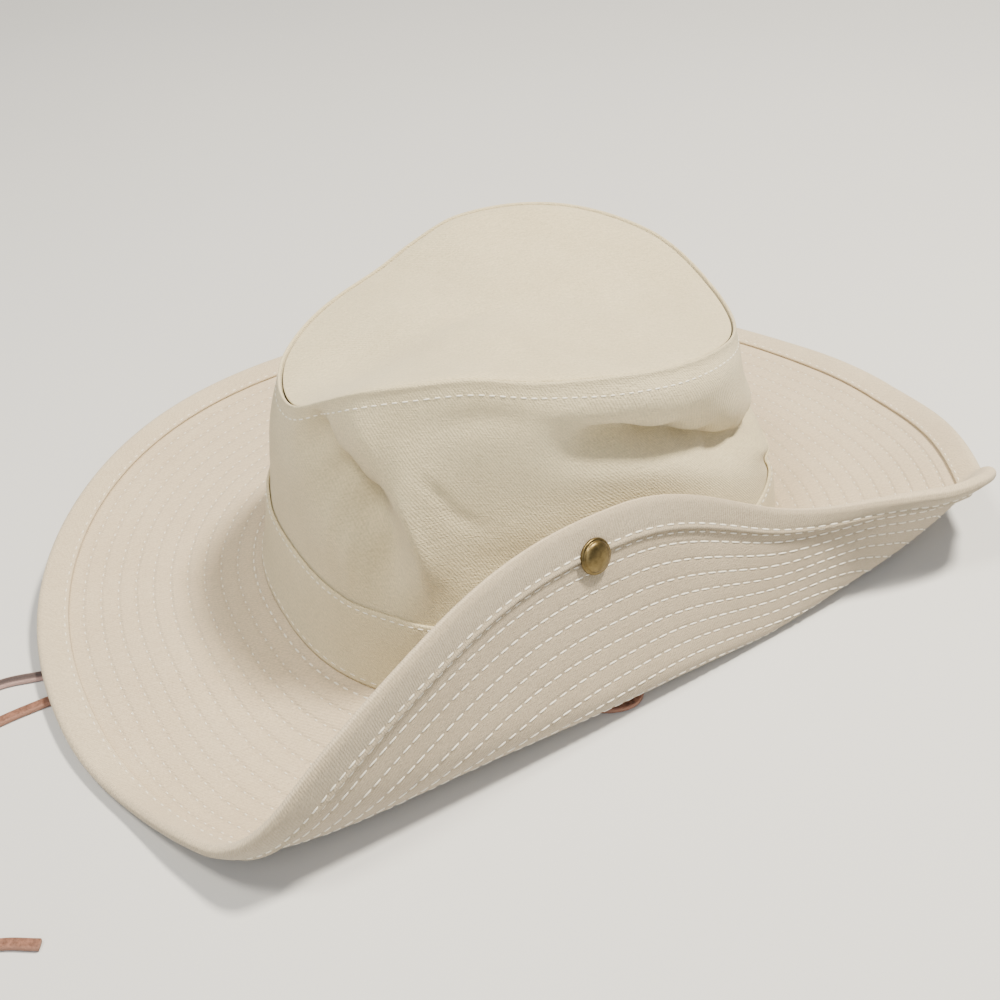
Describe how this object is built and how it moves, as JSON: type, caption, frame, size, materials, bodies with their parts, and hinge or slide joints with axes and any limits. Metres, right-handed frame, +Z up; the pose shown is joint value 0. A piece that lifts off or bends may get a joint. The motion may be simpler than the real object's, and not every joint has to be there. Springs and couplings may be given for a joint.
{
  "type": "safari hat",
  "caption": "Soft cotton safari hat with a two-panel crown, a stitched brim turned up and snapped on one side, and a chin cord of flat leather laces.",
  "frame": {"origin": "middle of the hat's footprint, cord left out, on the surface it lies on", "axes": "+X along the head opening, -Y towards the turned up side, +Z up"},
  "size_m": [0.5297, 0.2814, 0.1235],
  "materials": {
    "crown_cloth": "matte cotton twill",
    "brim_cloth": "matte cotton twill with rows of stitching",
    "binding_cloth": "matte cotton twill cut on the bias",
    "snap_metal": "antique brass",
    "lace_leather": "flat lace with rough edges"
  },
  "bodies": {
    "root": {"crown_tip": "crown_cloth", "crown_side": "crown_cloth", "hat_band": "crown_cloth", "brim": "brim_cloth", "brim_binding": "binding_cloth", "snap_cap": "snap_metal", "snap_socket": "snap_metal", "chin_lace_near": "lace_leather", "chin_lace_far": "lace_leather", "lace_slide": "lace_leather"}
  },
  "joints": []
}
